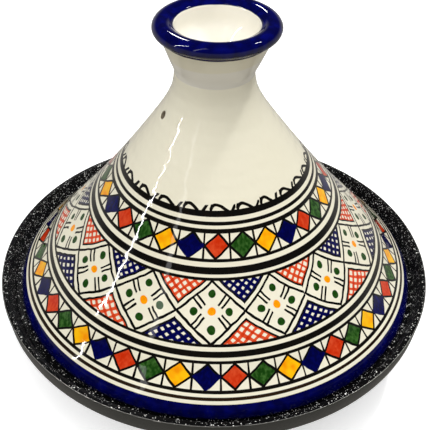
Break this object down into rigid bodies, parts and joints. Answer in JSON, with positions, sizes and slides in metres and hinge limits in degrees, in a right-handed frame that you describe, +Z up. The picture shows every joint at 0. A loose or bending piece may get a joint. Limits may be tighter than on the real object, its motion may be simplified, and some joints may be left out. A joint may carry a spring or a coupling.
{
  "type": "tagine pot",
  "caption": "Shallow round cooking pan with a ledge that carries a tall conical glazed lid, which lifts off by the flared hollow cup at its top.",
  "frame": {"origin": "centre of the pan's foot, on the surface it stands on", "axes": "+Z up along the axis of turning; the painted front faces -Y"},
  "size_m": [0.3, 0.3, 0.2426],
  "materials": {
    "coated_aluminium": "cast aluminium under a black coating with pale specks; satin charcoal outside",
    "plate_steel": "plain rolled steel, lightly brushed",
    "painted_glaze": "cream glaze with hand-painted bands, glossy",
    "cup_glaze": "cream glaze with a navy rolled rim, glossy"
  },
  "bodies": {
    "pan": {"pan": "coated_aluminium", "base_plate": "plate_steel"},
    "lid": {"lid_cone": "painted_glaze", "lid_cup": "cup_glaze"}
  },
  "joints": [
    {"name": "lid_lift", "type": "slide", "parent": "pan", "child": "lid", "axis": [0, 0, 1], "range_m": [0, 0.12]}
  ]
}
